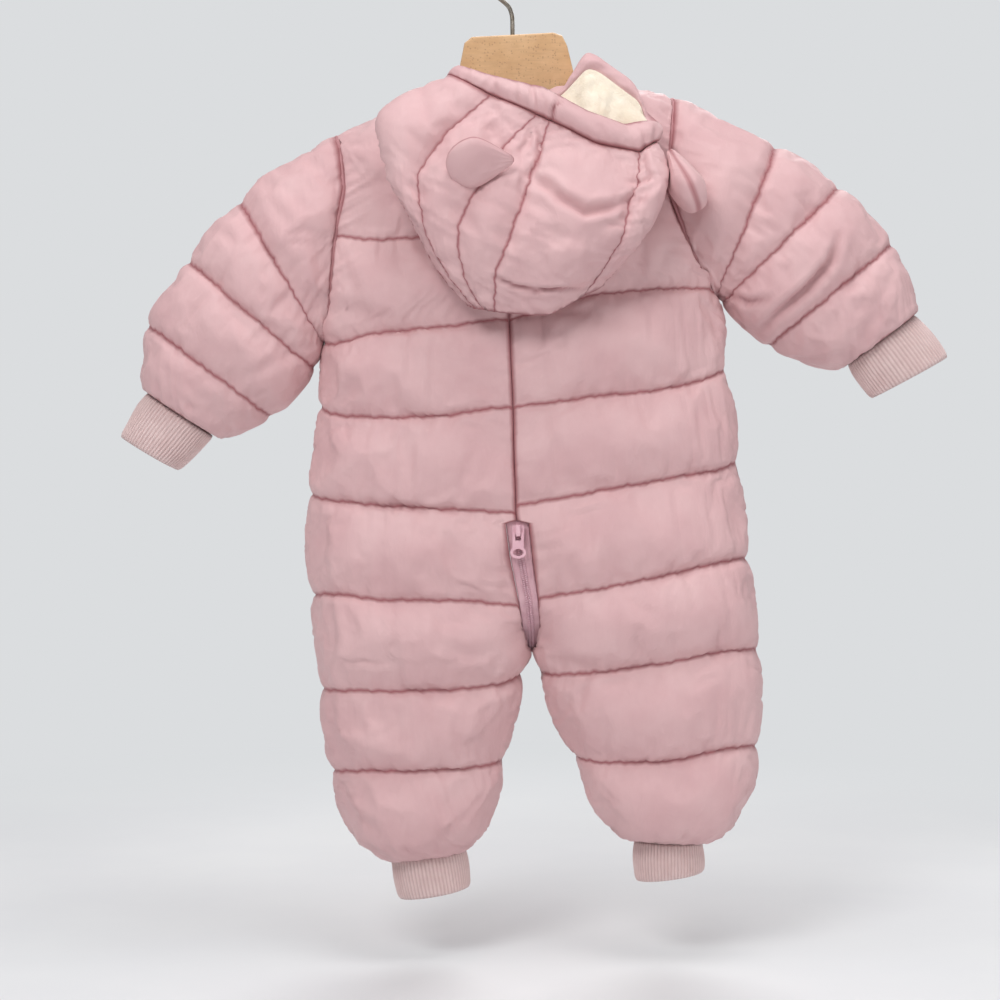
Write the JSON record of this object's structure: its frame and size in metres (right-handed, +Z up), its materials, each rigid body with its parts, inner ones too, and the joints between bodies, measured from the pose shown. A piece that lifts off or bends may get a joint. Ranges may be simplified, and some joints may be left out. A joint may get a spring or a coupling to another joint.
{
  "type": "baby snowsuit on a hanger",
  "caption": "Padded quilted baby one-piece with a hood, round ears, rib cuffs and a long zip, hanging from a wooden hanger.",
  "frame": {"origin": "inside top of the hanger hook's loop, where a rail carries it", "axes": "+Z up, +Y towards the suit's front, +X towards the wearer's right; the back faces -Y"},
  "size_m": [0.6613, 0.1701, 0.756],
  "materials": {
    "padded_cloth": "soft matt woven shell, quilted",
    "rib_knit": "fine rib knit",
    "fleece": "short cream fleece",
    "zip_tape": "fine woven tape",
    "zip_coil": "moulded coil",
    "zip_pull": "satin paint",
    "wood": "speckled satin wood",
    "hook_wire": "polished wire"
  },
  "bodies": {
    "garment": {"back_left": "padded_cloth", "back_right": "padded_cloth", "front_left": "padded_cloth", "front_right": "padded_cloth", "sleeve_left": "padded_cloth", "sleeve_right": "padded_cloth", "hood_shell": "padded_cloth", "hood_rim": "padded_cloth", "hood_front_left": "padded_cloth", "hood_front_right": "padded_cloth", "ear_left": "padded_cloth", "ear_right": "padded_cloth", "wrist_cuff_left": "rib_knit", "wrist_cuff_right": "rib_knit", "ankle_cuff_left": "rib_knit", "ankle_cuff_right": "rib_knit", "hood_lining": "fleece", "zip_tape_back": "zip_tape", "zip_coil_back": "zip_coil", "slider_back": "zip_pull", "zip_tape_front": "zip_tape", "zip_coil_front": "zip_coil", "slider_front": "zip_pull", "hanger_yoke": "wood", "hanger_hook": "hook_wire"},
    "back_tab": {"pull_tab_back": "zip_pull"},
    "front_tab": {"pull_tab_front": "zip_pull"}
  },
  "joints": [
    {"name": "back_tab_swing", "type": "hinge", "parent": "garment", "child": "back_tab", "pos_m": [0.00438, -0.05306, -0.45988], "axis": [-1, 0, 0], "range_deg": [0, 125]},
    {"name": "front_tab_swing", "type": "hinge", "parent": "garment", "child": "front_tab", "pos_m": [-0.00378, 0.03688, -0.16168], "axis": [1, 0, 0], "range_deg": [0, 125]}
  ]
}
